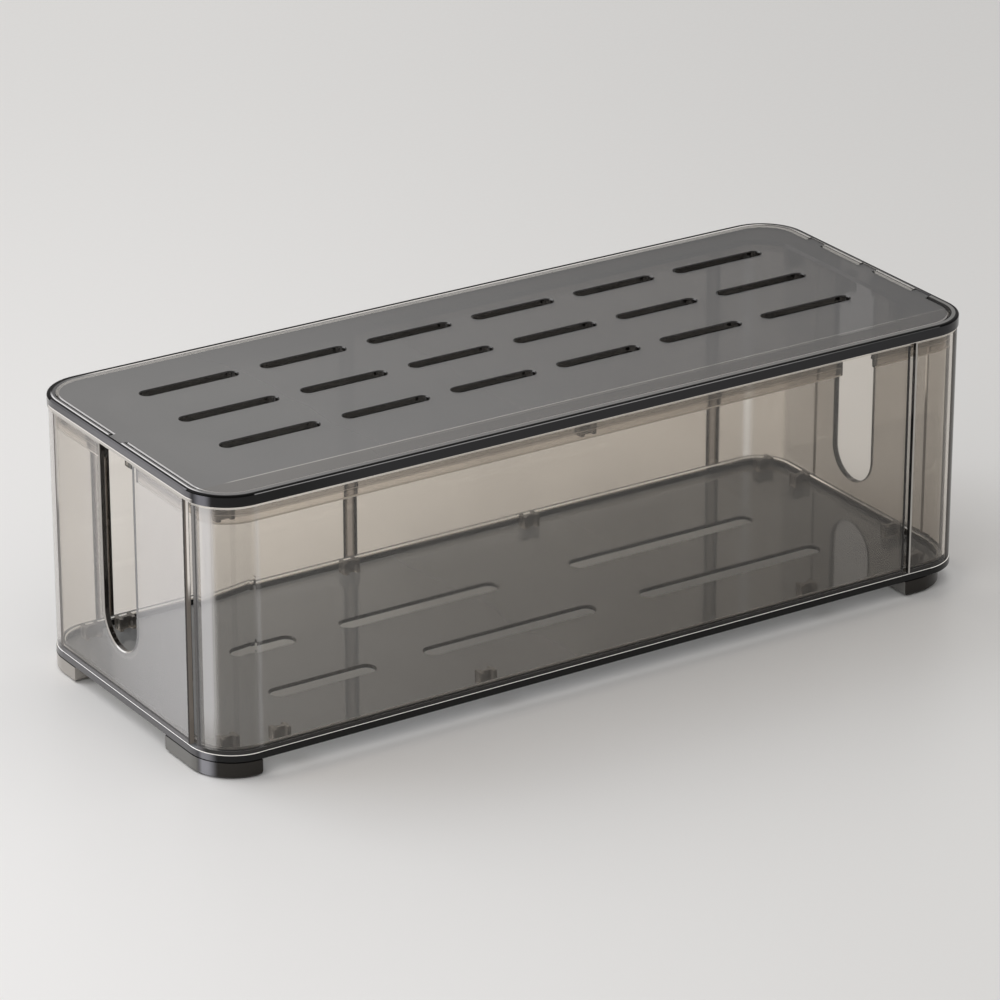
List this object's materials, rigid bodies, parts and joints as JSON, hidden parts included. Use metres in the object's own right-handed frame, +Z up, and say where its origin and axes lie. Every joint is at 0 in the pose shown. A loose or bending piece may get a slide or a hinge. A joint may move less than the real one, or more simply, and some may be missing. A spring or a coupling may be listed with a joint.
{
  "type": "cable management box",
  "caption": "Smoky see-through box that hides a power strip and its cords: slotted floor tray on corner feet, panelled walls with cord notches in both ends, and a vented lift-off lid.",
  "frame": {"origin": "middle of the footprint, on the surface that the feet stand on", "axes": "+X along the box towards the end with the lower notch, +Y from the front panel to the back, +Z up"},
  "size_m": [0.4, 0.158, 0.13],
  "materials": {
    "wall_plastic": "clear smoky grey, polished",
    "lid_panel_plastic": "clear smoky grey, polished",
    "lid_frame_plastic": "clear smoky grey, polished",
    "tray_plastic": "clear smoky grey, polished",
    "foot_plastic": "clear smoky grey, polished",
    "post_plastic": "clear smoky grey, polished"
  },
  "bodies": {
    "box": {"back_left_corner": "wall_plastic", "back_left_panel": "wall_plastic", "back_right_corner": "wall_plastic", "back_right_panel": "wall_plastic", "back_seam_left": "wall_plastic", "back_seam_middle": "wall_plastic", "back_seam_right": "wall_plastic", "base_tray": "tray_plastic", "foot_back_left": "foot_plastic", "foot_back_right": "foot_plastic", "foot_front_left": "foot_plastic", "foot_front_right": "foot_plastic", "front_panel": "wall_plastic", "front_right_corner": "wall_plastic", "left_end_panel": "wall_plastic", "right_end_panel": "wall_plastic", "tray_post_back_1": "post_plastic", "tray_post_back_2": "post_plastic", "tray_post_back_3": "post_plastic", "tray_post_back_4": "post_plastic", "tray_post_back_right_corner": "post_plastic", "tray_post_front_1": "post_plastic", "tray_post_front_2": "post_plastic", "tray_post_front_3": "post_plastic", "tray_post_front_4": "post_plastic", "tray_post_front_left_corner": "post_plastic", "tray_post_right_1": "post_plastic", "tray_post_right_2": "post_plastic"},
    "lid": {"lid_frame": "lid_frame_plastic", "lid_lip_back": "lid_frame_plastic", "lid_lip_front_left": "lid_frame_plastic", "lid_lip_front_right": "lid_frame_plastic", "lid_panel": "lid_panel_plastic", "lid_post_back": "post_plastic", "lid_post_back_left_corner": "post_plastic", "lid_post_front": "post_plastic", "lid_post_front_left_corner": "post_plastic", "lid_post_left": "post_plastic", "lid_post_right_1": "post_plastic", "lid_post_right_2": "post_plastic", "lid_post_right_3": "post_plastic"}
  },
  "joints": [
    {"name": "lid_lift", "type": "slide", "parent": "box", "child": "lid", "axis": [0, 0, 1], "range_m": [0, 0.12]}
  ]
}
